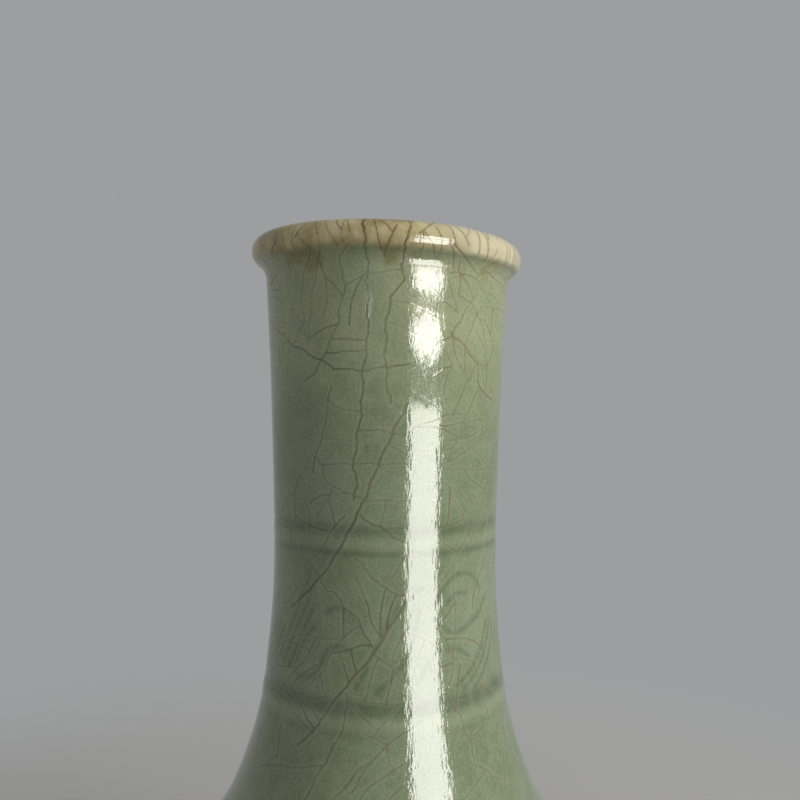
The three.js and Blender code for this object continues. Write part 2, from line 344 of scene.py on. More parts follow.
def crackleNetwork():
    # Every crack as (half width, strength, points), with points in (azimuth in radians, height in mm).
    form = crackleForm
    rng = np.random.default_rng(form["seed"])
    heights = np.arange(form["low"], form["high"], form["cell"])
    radii = np.where(heights < vaseForm["lipSeam"], outline(np.minimum(heights, vaseForm["lipSeam"])),
                     form["lipRadius"])
    tilts = np.hypot(1, np.gradient(np.minimum(radii, 70), form["cell"]))
    tilts[heights > vaseForm["lipSeam"] - 1] = 1
    rowCount, columnCount, step = len(heights), form["columns"], form["step"]
    taken = np.zeros((rowCount, columnCount), bool)
    radiusOf, tiltOf = radii.tolist(), tilts.tolist()
    cracks = []

    def rowOf(z):
        return int((z - form["low"]) / form["cell"])

    def columnOf(azimuth):
        return int((azimuth + math.pi) / (2 * math.pi) * columnCount) % columnCount

    def keep(width, strength, points):
        points = np.array(points)
        rows = np.clip(((points[:, 1] - form["low"]) / form["cell"]).astype(int), 0, rowCount - 1)
        columns = ((points[:, 0] + math.pi) / (2 * math.pi) * columnCount).astype(int)
        for aside in (-1, 0, 1):
            taken[rows, (columns + aside) % columnCount] = True
        cracks.append((width, strength, points))

    def isFree(azimuth, z, spacing):
        row, column = rowOf(z), columnOf(azimuth)
        up = int(spacing / form["cell"] / tiltOf[row])
        aside = int(spacing / radiusOf[row] / (2 * math.pi) * columnCount)
        near = np.arange(column - aside, column + aside + 1) % columnCount
        return not taken[max(0, row - up):row + up + 1][:, near].any()

    def grow(azimuth, z, heading, longest):
        path = []
        for advance in range(int(longest / step)):
            row = rowOf(z)
            heading += rng.normal(0, form["wander"])
            azimuth += step * math.cos(heading) / radiusOf[row]
            z += step * math.sin(heading) / tiltOf[row]
            if not form["low"] + 1 < z < form["high"] - 1:
                break
            path.append((azimuth, z))
            row, column = rowOf(z), columnOf(azimuth)
            if taken[row, column] or taken[row, (column + 1) % columnCount] or taken[row, column - 1]:
                break
        return path

    for width, strength, points in form["placed"]:
        keep(width, strength, densified(points, step, rng))
    for level in form["levels"]:
        for attempt in range(level["tries"]):
            azimuth = rng.uniform(-math.pi, math.pi)
            z = rng.uniform(form["low"] + 2, form["high"] - 2)
            x, y = math.sin(azimuth) * 30, -math.cos(azimuth) * 30
            chance = rng.uniform(0, knotR.max())
            onLip = z > vaseForm["lipSeam"] + 3.5
            if level.get("lipOnly", False) != onLip or (not onLip and chance > radiusOf[rowOf(z)]):
                continue
            right = form["dense"][0] < azimuth < form["dense"][1] and z > form["denseFrom"]
            if level.get("denseOnly") and not right and swell(x, y, z, 45, 21) < form["denseShare"]:
                continue
            if not isFree(azimuth, z, level["spacing"]):
                continue
            rise = ease(z, form["grainFrom"], form["grainTo"])
            grain = form["grain"] + (form["grainTop"] - form["grain"]) * rise
            grain += form["grainSway"] * swell(x, y, z, 60, 22)
            if onLip:
                grain = form["lipGrain"]
            heading = math.radians(grain + level["turn"] + rng.normal(0, level["spread"]))
            back = grow(azimuth, z, heading + math.pi, level["longest"] / 2)
            path = back[::-1] + [(azimuth, z)] + grow(azimuth, z, heading, level["longest"] / 2)
            if len(path) > 4:
                keep(level["width"], level["strength"] * rng.uniform(0.6, 1.15), path)
    return cracks


def paintCracks(cracks, along, radii, columns):
    # For each vertex, how many half widths away the nearest crack is, and that crack's strength.
    reach = np.full((len(along), columns), 9.0)
    power = np.zeros((len(along), columns))
    belowLip = along[-1] < vaseForm["lipSeam"] + 1
    tilt = np.hypot(1, np.gradient(radii, along)) if belowLip else np.ones(len(along))
    cellArc = 2 * math.pi / columns
    margin = 1.3
    for width, strength, points in cracks:
        inside = (points[:, 1] > along[0] - margin) & (points[:, 1] < along[-1] + margin)
        if not inside.any():
            continue
        line = points[::2] if len(points) > 5 else points
        if (len(points) - 1) % 2:
            line = np.vstack([line, points[-1:]])
        for a, b in zip(line[:-1], line[1:]):
            first, last = np.searchsorted(along, (min(a[1], b[1]) - margin, max(a[1], b[1]) + margin))
            if first == last:
                continue
            rowRadius = radii[first:last, None]
            spread = margin / radii[first]
            left = math.floor((min(a[0], b[0]) - spread + math.pi) / cellArc)
            right = math.ceil((max(a[0], b[0]) + spread + math.pi) / cellArc)
            index = np.arange(left, right + 1)
            ds = (index * cellArc - math.pi - a[0])[None, :] * rowRadius
            dz = (along[first:last, None] - a[1]) * tilt[first:last, None]
            run, rise = (b[0] - a[0]) * rowRadius, (b[1] - a[1]) * tilt[first:last, None]
            t = np.clip((ds * run + dz * rise) / (run * run + rise * rise + 1e-9), 0, 1)
            away = np.hypot(ds - t * run, dz - t * rise) / width
            block = np.ix_(np.arange(first, last), index % columns)
            closer = away < reach[block]
            power[block] = np.where(closer, strength, power[block])
            reach[block] = np.where(closer, away, reach[block])
    return reach, power


def makeTurned(name, rows, outside, columns, along=None):
    # A profile of (radius, height) rows carried round the axis; rows that are outside get relief and cracks.
    # A profile that starts and ends on the axis closes there with a fan, and any other closes on itself.
    rows = np.array(rows, float)
    outside = np.array(outside, float)[:, None]
    poles = rows[0, 0] == 0 and rows[-1, 0] == 0
    if poles:
        tips, rows, outside = rows[[0, -1]], rows[1:-1], outside[1:-1]
    azimuth, radius = np.meshgrid(np.linspace(-math.pi, math.pi, columns, endpoint=False), rows[:, 0])
    z = np.repeat(rows[:, 1:2], columns, 1)
    relief, pooled = surfaceRelief(azimuth, z, radius)
    reach, power = np.full(radius.shape, 9.0), np.zeros(radius.shape)
    glazed = int(outside.sum())
    if glazed:
        course = rows[:glazed, 1] if along is None else np.array(along)
        reach[:glazed], power[:glazed] = paintCracks(network, course, rows[:glazed, 0], columns)
    radius = radius * (1 + vaseForm["ovalness"] / 30 * np.cos(2 * azimuth - 0.7)) + relief * outside
    x, y = radius * np.sin(azimuth), -radius * np.cos(azimuth)
    z = z - vaseForm["rimDip"] * x * ease(z, vaseForm["rimDipStart"], vaseForm["rimDipEnd"])
    points = np.stack([x, y, z], 2).reshape(-1, 3)
    count = len(rows)
    row, column = np.meshgrid(np.arange(count if not poles else count - 1), np.arange(columns), indexing="ij")
    nextRow, nextColumn = (row + 1) % count, (column + 1) % columns
    quads = np.stack([row * columns + column, row * columns + nextColumn,
                      nextRow * columns + nextColumn, nextRow * columns + column], 2).reshape(-1, 4)
    fans = np.zeros((0, 3), int)
    marks = {"pooling": pooled * outside, "crackReach": reach, "crackPower": power,
             "inner": 1 - outside + 0 * radius}
    if poles:
        points = np.vstack([points, [[0, 0, tips[0, 1]], [0, 0, tips[1, 1]]]])
        ring = np.arange(columns)
        after = (ring + 1) % columns
        first = np.stack([np.full(columns, len(points) - 2), after, ring], 1)
        last = np.stack([np.full(columns, len(points) - 1),
                         (count - 1) * columns + ring, (count - 1) * columns + after], 1)
        fans = np.vstack([first, last])
    mesh = bpy.data.meshes.new(name)
    mesh.vertices.add(len(points))
    mesh.vertices.foreach_set("co", (points * metresPerMm).ravel())
    mesh.loops.add(quads.size + fans.size)
    mesh.loops.foreach_set("vertex_index", np.concatenate([quads.ravel(), fans.ravel()]).astype(np.int32))
    mesh.polygons.add(len(quads) + len(fans))
    starts = np.concatenate([np.arange(len(quads)) * 4, quads.size + np.arange(len(fans)) * 3])
    mesh.polygons.foreach_set("loop_start", starts.astype(np.int32))
    mesh.update(calc_edges=True)
    for mark, values in marks.items():
        values = np.concatenate([values.ravel(), np.full(2 if poles else 0, values[0, 0])])
        mesh.attributes.new(mark, "FLOAT", "POINT").data.foreach_set("value", values.astype(np.float32))
    mesh.shade_smooth()
    mesh.set_sharp_from_angle(angle=math.radians(38))
    piece = bpy.data.objects.new(name, mesh)
    bpy.context.scene.collection.objects.link(piece)
    print(f"{name}: {len(quads) * 2 + len(fans)} triangles")
    return piece


def wallSection(low, high, heights, innerStep=3.0, floor=None):
    # One thrown section: outside going up, seats under the strings, the joint face, then the bore going down.
    half, seat = stringForm["half"], stringForm["seat"]
    outerLow = low + half if low in stringForm["heights"] else low
    outerHigh = high - half if high in stringForm["heights"] else high
    z = np.array([outerLow] + [h for h in heights if outerLow < h < outerHigh] + [outerHigh])
    rows = list(zip(outline(z), z))
    outside = [1] * len(rows)
    if outerHigh < high:
        rows += [(outline(high) - seat, outerHigh), (outline(high) - seat, high)]
    inner = np.linspace(high, floor[-1][1] + 1 if floor else low, int((high - low) / innerStep) + 1)
    rows += list(zip(bore(inner), inner))
    if floor:
        rows += floor[::-1]
    if outerLow > low:
        rows += [(outline(low) - seat, low), (outline(low) - seat, outerLow)]
    return rows, outside + [0] * (len(rows) - len(outside))


# Foot ring: turned from the joint down to the face that it stands on.
footForm = {"outer": 42.6, "width": 6.4, "height": 9, "bevel": 1.1, "columns": 360}


def footRows():
    # A rectangle with rounded lower corners and a slightly rounded shoulder under the glaze's edge.
    form = footForm
    outer, inner, bevel = form["outer"], form["outer"] - form["width"], form["bevel"]
    turn = np.linspace(0, math.pi / 2, 6)
    rows = [(outer - bevel + bevel * math.sin(a), bevel - bevel * math.cos(a)) for a in turn]
    rows += [(outer, h) for h in np.linspace(bevel + 0.8, form["height"] - 0.9, 8)]
    rows += [(outer - 0.15, form["height"] - 0.35), (outer - 0.5, form["height"])]
    rows += [(inner, form["height"])]
    rows += [(inner, h) for h in np.linspace(form["height"] - 1, bevel, 6)]
    rows += [(inner + bevel - bevel * math.cos(a), bevel - bevel * math.sin(a)) for a in turn[1:]]
    return rows, [0] * len(rows)


# Base disc, let in from inside on the lower body's ledge.
baseForm = {"radius": 37, "low": 12, "thickness": 6, "opening": 33, "ledge": 3, "slip": 0.3, "columns": 360}


def baseRows():
    # From the middle of the underside outwards, up the edge and back to the middle of the top.
    form = baseForm
    reach = np.linspace(0, form["radius"], 40)
    spiralCut = 0.07 * np.cos(reach * 1.5)
    spiralCut[[0, -1]] = 0
    rows = [(r, form["low"] + c) for r, c in zip(reach, spiralCut)]
    rows += [(r, form["low"] + form["thickness"]) for r in reach[::-1]]
    return rows, [0] * len(rows)


def lowerBodyFloor():
    # The ledge that carries the base disc, from the foot joint's inner edge up to the bore.
    form = baseForm
    seat = form["radius"] + form["slip"]
    top = form["low"] + form["thickness"]
    edge = 0.9
    return [(form["opening"] + edge, form["low"] - form["ledge"]),
            (form["opening"] + edge * 0.3, form["low"] - form["ledge"] + edge * 0.3),
            (form["opening"], form["low"] - form["ledge"] + edge),
            (form["opening"], form["low"]), (seat, form["low"]), (seat, top)]


# Rolled lip: a fillet under it, a round roll and an easy curve down into the neck.
lipForm = {
    "fillet": 5, "filletCentre": 37.1, "roll": 3.7, "rollCentre": 32.3, "rollHeight": 260.3,
    "innerDrop": 6.5, "columns": 640,
}


def lipRows():
    # The fillet's arc, the roll's arc up to the top, a quarter ellipse inside and the bore down to the joint.
    form = lipForm
    seam, drop, roll = vaseForm["lipSeam"], form["innerDrop"], form["roll"]
    touch = math.atan2(form["rollHeight"] - seam, form["rollCentre"] - form["filletCentre"])
    fillet = np.linspace(math.pi, touch, 14)
    over = np.linspace(touch - math.pi, math.pi / 2, 34)[1:]
    inside = np.linspace(math.pi / 2, math.pi, 24)[1:]
    top = form["rollHeight"] + roll
    boreRadius = float(bore(np.array(float(seam))))
    wide = form["rollCentre"] - boreRadius
    rows = [(form["filletCentre"] + form["fillet"] * math.cos(a), seam + form["fillet"] * math.sin(a))
            for a in fillet]
    rows += [(form["rollCentre"] + roll * math.cos(a), form["rollHeight"] + roll * math.sin(a))
             for a in over]
    rows += [(form["rollCentre"] + wide * math.cos(a), top - drop + drop * math.sin(a)) for a in inside]
    outside = [1] * len(rows)
    steps = np.hypot(*np.diff(np.array(rows), axis=0).T)
    along = seam + np.concatenate([[0], np.cumsum(steps)])
    rows += [(boreRadius, h) for h in np.linspace(top - drop - 1, seam, 5)]
    return rows, outside + [0] * (len(rows) - len(outside)), along


def stringRows(height):
    # The bead's outside between its two edges, and a flat back let into the neck.
    half, seat = stringForm["half"], stringForm["seat"]
    z = np.linspace(height - half, height + half, 9)
    rows = list(zip(outline(z), z))
    outside = [1] * len(rows)
    back = outline(np.array(float(height))) - seat
    rows += [(back, height + half), (back, height - half)]
    return rows, outside + [0, 0]


print("camera")
cameraForm = {
    "distance": 0.215, "height": 0.2228, "yaw": -1.0, "roll": 0.4,    # metres and degrees
    "lens": 36, "sensor": 36,
}
cameraData = bpy.data.cameras.new("camera")
cameraData.lens = cameraForm["lens"]
cameraData.sensor_width = cameraForm["sensor"]
cameraData.clip_start = 0.01
camera = bpy.data.objects.new("camera", cameraData)
bpy.context.scene.collection.objects.link(camera)
camera.matrix_world = (Matrix.Translation((0, -cameraForm["distance"], cameraForm["height"]))
                       @ Matrix.Rotation(math.radians(cameraForm["yaw"]), 4, "Z")
                       @ Matrix.Rotation(math.radians(90), 4, "X")
                       @ Matrix.Rotation(math.radians(cameraForm["roll"]), 4, "Z"))
bpy.context.scene.camera = camera


def linear(hexColour):
    # An sRGB hex colour as linear red, green, blue and full alpha.
    parts = [int(hexColour[i:i + 2], 16) / 255 for i in (0, 2, 4)]
    return tuple(p / 12.92 if p <= 0.04045 else ((p + 0.055) / 1.055) ** 2.4 for p in parts) + (1,)


def addNode(tree, kind, settings, inputs):
    # One node with its settings; an input that is a socket is linked, and any other is its value.
    node = tree.nodes.new(kind)
    for name, value in settings.items():
        setattr(node, name, value)
    for name, value in inputs.items():
        if isinstance(value, bpy.types.NodeSocket):
            tree.links.new(value, node.inputs[name])
        else:
            node.inputs[name].default_value = value
    return node


def newMaterial(name):
    material = bpy.data.materials.new(name)
    material.use_nodes = True
    material.node_tree.nodes.clear()
    return material, material.node_tree


# Celadon: iron in a lime glaze, fired without air. It gives a soft grey green that turns deeper where it
# pools, glossy but slightly wavy, with crackle that has taken up tea-brown stain. Lengths are in mm.
celadonLook = {
    "middle": "778265", "pale": "8b957a", "deep": "64704f", "pooled": "3a4630", "ridge": "939a80",
    "thin": "a3a57f", "olive": "6f6a3a", "crackle": "3f4129", "crackleBrown": "66532c", "speck": "2c2a20",
    "lip": "b5a97a", "lipShade": "918255", "lipPale": "d2cbae", "lipCrackle": "553c1c",
    "crackleShare": 0.78,            # how much of the stain's colour shows through the glaze
    "crackHighlightShare": 0.16,               # painted highlight: the pale edge beside a crack, where it catches light in the glaze
    "creepShare": 0.15,              # stain that has crept out beside the lip's cracks
    "roughness": 0.09, "roughnessPlay": 0.03, "ior": 1.52,
    "cloudSize": 30, "mottleSize": 3.5, "grainSize": 0.55, "speckApart": 9,
    "runSize": 9, "thinFrom": 204, "thinTo": 250,      # where the glaze thins and pales towards the lip
    "oliveFrom": 246, "oliveTo": 256,                  # where olive stain shows under the roll
    "stainSize": 11, "brownFrom": -12, "brownTo": 16,  # the cracks turn browner towards +X
    "cell": 15, "smallCell": 7, "bendSize": 13, "bendBy": 6,    # the crackle inside and underneath
    "lipFrom": 257.6, "lipTo": 259.2, "lipWander": 1.8, "lipWanderSize": 5, "lipPatchSize": 8,
    "waveSize": 6, "waveDepth": 0.05, "peelSize": 1, "peelDepth": 0.06, "crackDepth": 0.03,
}


def glazeMaterial(name, lip):
    # The glaze's colour, crackle and surface; with lip it thins to a pale buff over the rolled edge.
    look = celadonLook
    smooth = {"interpolation_type": "SMOOTHSTEP"}
    colours = {"data_type": "RGBA"}
    times = {"operation": "MULTIPLY"}
    timesHeld = {"operation": "MULTIPLY", "use_clamp": True}
    material, tree = newMaterial(name)
    place = addNode(tree, "ShaderNodeTexCoord", {}, {}).outputs["Object"]
    mm = addNode(tree, "ShaderNodeVectorMath", {"operation": "SCALE"},
                 {0: place, "Scale": 1 / metresPerMm}).outputs[0]
    across, towards, height = addNode(tree, "ShaderNodeSeparateXYZ", {}, {0: mm}).outputs
    pooling, reach, power, inner = [
        addNode(tree, "ShaderNodeAttribute", {"attribute_name": mark}, {}).outputs["Fac"]
        for mark in ("pooling", "crackReach", "crackPower", "inner")]

    # Broad cloudiness, then a fine mottle.
    cloud = addNode(tree, "ShaderNodeTexNoise", {},
                    {"Vector": mm, "Scale": 1 / look["cloudSize"], "Detail": 3})
    mottle = addNode(tree, "ShaderNodeTexNoise", {},
                     {"Vector": mm, "Scale": 1 / look["mottleSize"], "Detail": 5, "Roughness": 0.62})
    cloudShare = addNode(tree, "ShaderNodeMapRange", {},
                         {"Value": cloud.outputs[0], "From Min": 0.36, "From Max": 0.64})
    mottleShare = addNode(tree, "ShaderNodeMapRange", {},
                          {"Value": mottle.outputs[0], "From Min": 0.3, "From Max": 0.7, "To Max": 0.45})
    clouded = addNode(tree, "ShaderNodeMix", colours,
                      {0: cloudShare.outputs[0], 6: linear(look["deep"]), 7: linear(look["middle"])})
    colour = addNode(tree, "ShaderNodeMix", colours,
                     {0: mottleShare.outputs[0], 6: clouded.outputs[2], 7: linear(look["pale"])}).outputs[2]

    # The glaze has run down in the fire, so it is thinner and paler towards the lip, with an olive stain
    # in patches just under the roll.
    runNoise = addNode(tree, "ShaderNodeTexNoise", {},
                       {"Vector": mm, "Scale": 1 / look["runSize"], "Detail": 4})
    thinning = addNode(tree, "ShaderNodeMapRange", smooth,
                       {"Value": height, "From Min": look["thinFrom"], "From Max": look["thinTo"],
                        "To Max": 0.9})
    thin = addNode(tree, "ShaderNodeMath", timesHeld, {0: thinning.outputs[0], 1: runNoise.outputs[0]})
    colour = addNode(tree, "ShaderNodeMix", colours,
                     {0: thin.outputs[0], 6: colour, 7: linear(look["thin"])}).outputs[2]
    underLip = addNode(tree, "ShaderNodeMapRange", smooth,
                       {"Value": height, "From Min": look["oliveFrom"], "From Max": look["oliveTo"]})
    patchy = addNode(tree, "ShaderNodeMapRange", smooth,
                     {"Value": runNoise.outputs[0], "From Min": 0.5, "From Max": 0.62, "To Max": 0.7})
    olive = addNode(tree, "ShaderNodeMath", times, {0: underLip.outputs[0], 1: patchy.outputs[0]})
    colour = addNode(tree, "ShaderNodeMix", colours,
                     {0: olive.outputs[0], 6: colour, 7: linear(look["olive"])}).outputs[2]

    # Fine bubbles in the glaze give it a grain of about half a millimetre.
    grain = addNode(tree, "ShaderNodeTexNoise", {},
                    {"Vector": mm, "Scale": 1 / look["grainSize"], "Detail": 2})
    grainShade = addNode(tree, "ShaderNodeMapRange", {},
                         {"Value": grain.outputs[0], "From Min": 0.3, "From Max": 0.7,
                          "To Min": 0.86, "To Max": 1.14})
    colour = addNode(tree, "ShaderNodeVectorMath", {"operation": "SCALE"},
                     {0: colour, "Scale": grainShade.outputs[0]}).outputs[0]

    # Glaze is deeper and greener in grooves and cut lines, and thin and pale on the strings.
    deeper = addNode(tree, "ShaderNodeMath", timesHeld, {0: pooling, 1: 0.5})
    colour = addNode(tree, "ShaderNodeMix", colours,
                     {0: deeper.outputs[0], 6: colour, 7: linear(look["pooled"])}).outputs[2]
    thinner = addNode(tree, "ShaderNodeMath", timesHeld, {0: pooling, 1: -0.7})
    colour = addNode(tree, "ShaderNodeMix", colours,
                     {0: thinner.outputs[0], 6: colour, 7: linear(look["ridge"])}).outputs[2]

    # Cracks outside come with the mesh. Their stain is uneven, and browner in some stretches.
    stretch = addNode(tree, "ShaderNodeTexNoise", {},
                      {"Vector": mm, "Scale": 1 / look["stainSize"], "Detail": 2})
    uneven = addNode(tree, "ShaderNodeMapRange", {},
                     {"Value": stretch.outputs[0], "From Min": 0.3, "From Max": 0.7,
                      "To Min": 0.55, "To Max": 1.15})
    line = addNode(tree, "ShaderNodeMapRange", smooth,
                   {"Value": reach, "From Min": 0.15, "From Max": 1.25, "To Min": 1, "To Max": 0})
    line = addNode(tree, "ShaderNodeMath", times, {0: line.outputs[0], 1: power})
    line = addNode(tree, "ShaderNodeMath", timesHeld, {0: line.outputs[0], 1: uneven.outputs[0]})

    # Inside and underneath: large cells first, then small cells started afresh inside each large one.
    bendNoise = addNode(tree, "ShaderNodeTexNoise", {},
                        {"Vector": mm, "Scale": 1 / look["bendSize"], "Detail": 3})
    bend = addNode(tree, "ShaderNodeVectorMath", {"operation": "MULTIPLY_ADD"},
                   {0: bendNoise.outputs["Color"], 1: (look["bendBy"],) * 3, 2: mm}).outputs[0]
    cells = addNode(tree, "ShaderNodeTexVoronoi", {}, {"Vector": bend, "Scale": 1 / look["cell"]})
    edges = addNode(tree, "ShaderNodeTexVoronoi", {"feature": "DISTANCE_TO_EDGE"},
                    {"Vector": bend, "Scale": 1 / look["cell"]})
    small = addNode(tree, "ShaderNodeVectorMath", {"operation": "MULTIPLY_ADD"},
                    {0: cells.outputs["Color"], 1: (63, 71, 57), 2: bend}).outputs[0]
    smallEdges = addNode(tree, "ShaderNodeTexVoronoi", {"feature": "DISTANCE_TO_EDGE"},
                         {"Vector": small, "Scale": 1 / look["smallCell"]})
    cellLine = addNode(tree, "ShaderNodeMapRange", smooth,
                       {"Value": edges.outputs[0], "From Min": 0.004, "From Max": 0.02,
                        "To Min": 0.7, "To Max": 0})
    smallLine = addNode(tree, "ShaderNodeMapRange", smooth,
                        {"Value": smallEdges.outputs[0], "From Min": 0.006, "From Max": 0.03,
                         "To Min": 0.4, "To Max": 0})
    cellLine = addNode(tree, "ShaderNodeMath", {"operation": "MAXIMUM"},
                       {0: cellLine.outputs[0], 1: smallLine.outputs[0]})
    cellLine = addNode(tree, "ShaderNodeMath", times, {0: cellLine.outputs[0], 1: inner})
    line = addNode(tree, "ShaderNodeMath", {"operation": "MAXIMUM"},
                   {0: line.outputs[0], 1: cellLine.outputs[0]}).outputs[0]
    browner = addNode(tree, "ShaderNodeMapRange", smooth,
                      {"Value": across, "From Min": look["brownFrom"], "From Max": look["brownTo"]})
    stain = addNode(tree, "ShaderNodeMix", colours,
                    {0: browner.outputs[0], 6: linear(look["crackle"]), 7: linear(look["crackleBrown"])})
    # Painted highlight: a pale edge beside each crack, where it catches light in the glaze.
    crackHighlight = addNode(tree, "ShaderNodeMapRange", smooth,
                   {"Value": reach, "From Min": 2.2, "From Max": 3.4,
                    "To Min": look["crackHighlightShare"], "To Max": 0})
    colour = addNode(tree, "ShaderNodeMix", colours,
                     {0: crackHighlight.outputs[0], 6: colour, 7: linear(look["ridge"])}).outputs[2]
    stained = addNode(tree, "ShaderNodeMath", times, {0: line, 1: look["crackleShare"]})
    colour = addNode(tree, "ShaderNodeMix", colours,
                     {0: stained.outputs[0], 6: colour, 7: stain.outputs[2]}).outputs[2]

    # Iron specks, about half a millimetre across.
    specks = addNode(tree, "ShaderNodeTexVoronoi", {},
                     {"Vector": mm, "Scale": 1 / look["speckApart"], "Randomness": 1})
    speck = addNode(tree, "ShaderNodeMapRange", smooth,
                    {"Value": specks.outputs["Distance"], "From Min": 0.015, "From Max": 0.035,
                     "To Min": 0.7, "To Max": 0})
    colour = addNode(tree, "ShaderNodeMix", colours,
                     {0: speck.outputs[0], 6: colour, 7: linear(look["speck"])}).outputs[2]

    if lip:
        edgeNoise = addNode(tree, "ShaderNodeTexNoise", {},
                            {"Vector": mm, "Scale": 1 / look["lipWanderSize"], "Detail": 3})
        level = addNode(tree, "ShaderNodeMath", {"operation": "MULTIPLY_ADD"},
                        {0: across, 1: vaseForm["rimDip"], 2: height})
        ragged = addNode(tree, "ShaderNodeMath", {"operation": "MULTIPLY_ADD"},
                         {0: edgeNoise.outputs[0], 1: look["lipWander"], 2: level.outputs[0]})
        lipShare = addNode(tree, "ShaderNodeMapRange", smooth,
                           {"Value": ragged.outputs[0], "From Min": look["lipFrom"],
                            "From Max": look["lipTo"]})
        patch = addNode(tree, "ShaderNodeTexNoise", {},
                        {"Vector": mm, "Scale": 1 / look["lipPatchSize"], "Detail": 5, "Roughness": 0.6})
        shade = addNode(tree, "ShaderNodeMapRange", {},
                        {"Value": patch.outputs[0], "From Min": 0.38, "From Max": 0.6})
        buff = addNode(tree, "ShaderNodeMix", colours,
                       {0: mottleShare.outputs[0], 6: linear(look["lip"]), 7: linear(look["lipPale"])})
        buff = addNode(tree, "ShaderNodeMix", colours,
                       {0: shade.outputs[0], 6: buff.outputs[2], 7: linear(look["lipShade"])})
        # The rim is painted paler towards +X at the front: over the chipped stretch it has lost its glaze and
        # is worn pale, and before the chip the paling is a painted highlight along the lit side of the roll.
        wornAndLit = addNode(tree, "ShaderNodeMapRange", smooth,
                       {"Value": across, "From Min": 2, "From Max": 22, "To Max": 0.6})
        front = addNode(tree, "ShaderNodeMapRange", smooth,
                        {"Value": towards, "From Min": -12, "From Max": 14, "To Min": 1, "To Max": 0})
        wornAndLit = addNode(tree, "ShaderNodeMath", times, {0: wornAndLit.outputs[0], 1: front.outputs[0]})
        buff = addNode(tree, "ShaderNodeMix", colours,
                       {0: wornAndLit.outputs[0], 6: buff.outputs[2], 7: linear(look["lipPale"])})
        # Stain has crept out of the lip's cracks into the thin glaze beside them.
        creep = addNode(tree, "ShaderNodeMapRange", smooth,
                        {"Value": reach, "From Min": 0.5, "From Max": 4.5,
                         "To Min": look["creepShare"], "To Max": 0})
        creep = addNode(tree, "ShaderNodeMath", times, {0: creep.outputs[0], 1: uneven.outputs[0]})
        buff = addNode(tree, "ShaderNodeMix", colours,
                       {0: creep.outputs[0], 6: buff.outputs[2], 7: linear(look["lipShade"])})
        buff = addNode(tree, "ShaderNodeMix", colours,
                       {0: line, 6: buff.outputs[2], 7: linear(look["lipCrackle"])})
        colour = addNode(tree, "ShaderNodeMix", colours,
                         {0: lipShare.outputs[0], 6: colour, 7: buff.outputs[2]}).outputs[2]

    # Surface: slow waves of the melt and a fine peel, both drawn out downwards as the glaze ran, and a
    # hair's depth at each crack.
    run = addNode(tree, "ShaderNodeVectorMath", times, {0: mm, 1: (1, 1, 0.2)}).outputs[0]
    waves = addNode(tree, "ShaderNodeTexNoise", {},
                    {"Vector": run, "Scale": 1 / look["waveSize"], "Detail": 1, "Roughness": 0.4})
    peel = addNode(tree, "ShaderNodeTexNoise", {},
                   {"Vector": run, "Scale": 1 / look["peelSize"], "Detail": 2, "Roughness": 0.6})
    bump = addNode(tree, "ShaderNodeBump", {},
                   {"Strength": 1, "Distance": look["waveDepth"] * metresPerMm, "Height": waves.outputs[0]})
    bump = addNode(tree, "ShaderNodeBump", {},
                   {"Strength": 1, "Distance": look["peelDepth"] * metresPerMm, "Height": peel.outputs[0],
                    "Normal": bump.outputs[0]})
    cut = addNode(tree, "ShaderNodeBump", {"invert": True},
                  {"Strength": 0.4, "Distance": look["crackDepth"] * metresPerMm, "Height": line,
                   "Normal": bump.outputs[0]})
    dull = addNode(tree, "ShaderNodeMapRange", {},
                   {"Value": mottle.outputs[0], "To Min": look["roughness"] - look["roughnessPlay"],
                    "To Max": look["roughness"] + look["roughnessPlay"]})
    shader = addNode(tree, "ShaderNodeBsdfPrincipled", {},
                     {"Base Color": colour, "Roughness": dull.outputs[0], "IOR": look["ior"],
                      "Normal": cut.outputs[0]})
    addNode(tree, "ShaderNodeOutputMaterial", {}, {"Surface": shader.outputs[0]})
    return material


# Bare stoneware: the foot is wiped clean of glaze, so the iron in the clay burns to a rusty brown. It is
# dry and matt, with sand grains and a darker flash beside the glaze. Lengths are in mm.
clayLook = {
    "burnt": "7c5039", "pale": "96765c", "dark": "513324", "roughness": 0.85, "ior": 1.5,
    "patchSize": 14, "flashFrom": 6, "flashTo": 9, "grainApart": 1.6, "roughSize": 0.8, "roughDepth": 0.15,
}


